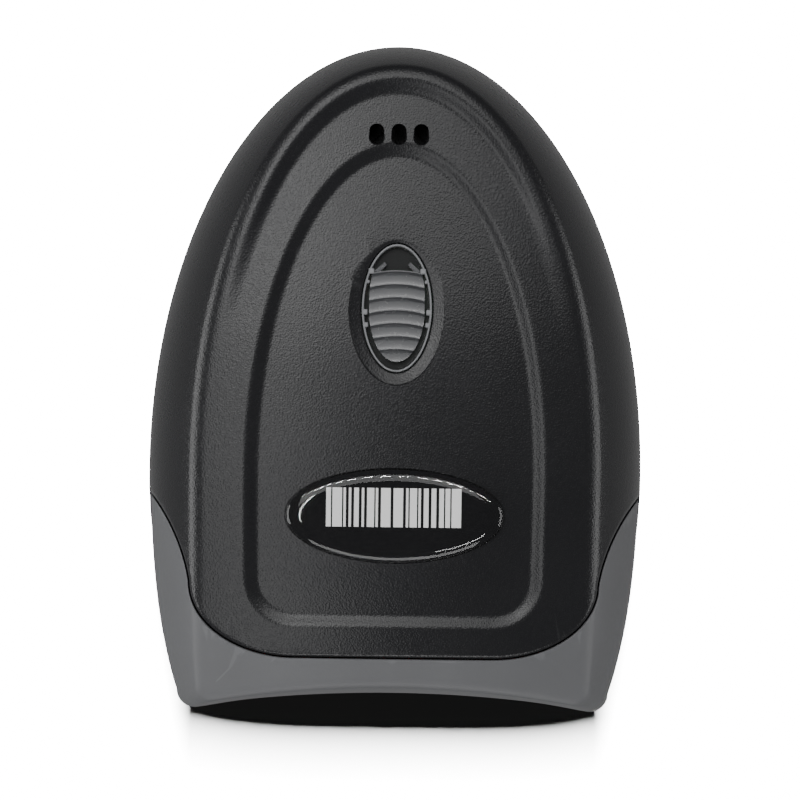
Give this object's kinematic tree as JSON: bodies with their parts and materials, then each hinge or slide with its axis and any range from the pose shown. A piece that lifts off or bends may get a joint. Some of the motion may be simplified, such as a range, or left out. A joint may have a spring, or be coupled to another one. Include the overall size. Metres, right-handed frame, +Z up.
{
  "type": "handheld barcode scanner",
  "caption": "Pistol-grip handheld barcode scanner: wide domed head with a grey nose bumper and red scan window, finger trigger, and a grip with a flat foot.",
  "frame": {"origin": "middle of the grip's flat foot, on the plane it stands on", "axes": "+Z up through the head, -Y towards the nose and scan window, +X to the right seen from above with the nose pointing at the viewer"},
  "size_m": [0.07, 0.0946, 0.1639],
  "materials": {
    "cover_plastic": "moulded, fine leather grain",
    "bumper_plastic": "moulded, satin",
    "window_red": "polished, deep red",
    "soft_black": "soft, dull",
    "clear_lens": "polished, clear",
    "label_film": "printed film",
    "clear_dome": "clear resin dome",
    "steel": "bright zinc",
    "spring_steel": "drawn wire",
    "board_green": "solder mask",
    "chip_black": "moulded epoxy",
    "shield_can": "tinned",
    "socket_ivory": "moulded",
    "led_amber": "phosphor",
    "plunger_red": "moulded",
    "cast_metal": "die cast",
    "ribbon_amber": "polyimide film",
    "brass": "turned",
    "mirror_glass": "front silvered",
    "diode_plastic": "filter plastic",
    "magnet_grey": "sintered",
    "copper_wire": "enamelled copper winding",
    "cell_sleeve": "shrink sleeve",
    "nickel": "nickel strip",
    "wire_skin": "insulated wire"
  },
  "bodies": {
    "housing": {"top_cover": "cover_plastic", "nose_bezel": "bumper_plastic", "body_front": "cover_plastic", "body_back": "cover_plastic", "foot_cap": "bumper_plastic", "scan_window": "window_red", "window_gasket": "soft_black", "status_lens": "clear_lens", "badge_film": "label_film", "badge_dome": "clear_dome", "trigger_pin": "steel", "trigger_spring": "spring_steel", "switch_board": "board_green", "switch_body": "chip_black", "main_board": "board_green", "board_chips": "chip_black", "radio_module": "shield_can", "board_connectors": "socket_ivory", "status_leds": "led_amber", "buzzer": "chip_black", "buzzer_seal": "soft_black", "board_screws": "steel", "engine_chassis": "cast_metal", "engine_board": "board_green", "engine_ribbon": "ribbon_amber", "engine_screws": "steel", "laser_module": "brass", "collector_mirror": "mirror_glass", "photodiode": "diode_plastic", "mirror_shaft": "steel", "drive_coil": "copper_wire", "battery_cell": "cell_sleeve", "battery_tabs": "nickel", "wire_harness": "wire_skin", "port_board": "board_green", "charge_socket": "shield_can", "port_cover_pin": "steel", "cover_screws": "steel", "grip_screws": "steel", "foot_screws": "steel"},
    "trigger": {"trigger": "bumper_plastic"},
    "plunger": {"switch_plunger": "plunger_red"},
    "mirror": {"scan_mirror": "mirror_glass", "mirror_magnet": "magnet_grey"},
    "flap": {"port_cover": "soft_black"}
  },
  "joints": [
    {"name": "trigger_pull", "type": "hinge", "parent": "housing", "child": "trigger", "pos_m": [0, -0.018, 0.11], "axis": [1, 0, 0], "range_deg": [0, 6], "stiffness_Nm_per_rad": 0.12, "springref_deg": -5.73, "deforming": ["trigger_spring"]},
    {"name": "plunger_press", "type": "slide", "parent": "housing", "child": "plunger", "axis": [0, 1, 0], "range_m": [0, 0.0014]},
    {"name": "mirror_sweep", "type": "hinge", "parent": "housing", "child": "mirror", "pos_m": [0.003, -0.044, 0.138], "axis": [0, 0, 1], "range_deg": [-13, 13]},
    {"name": "flap_open", "type": "hinge", "parent": "housing", "child": "flap", "pos_m": [0, 0.0166, 0.0089], "axis": [-1, 0, 0], "range_deg": [0, 90]}
  ],
  "couplings": [
    {"joint": "plunger_press", "follows": "trigger_pull", "m_per_rad": 0.013}
  ]
}
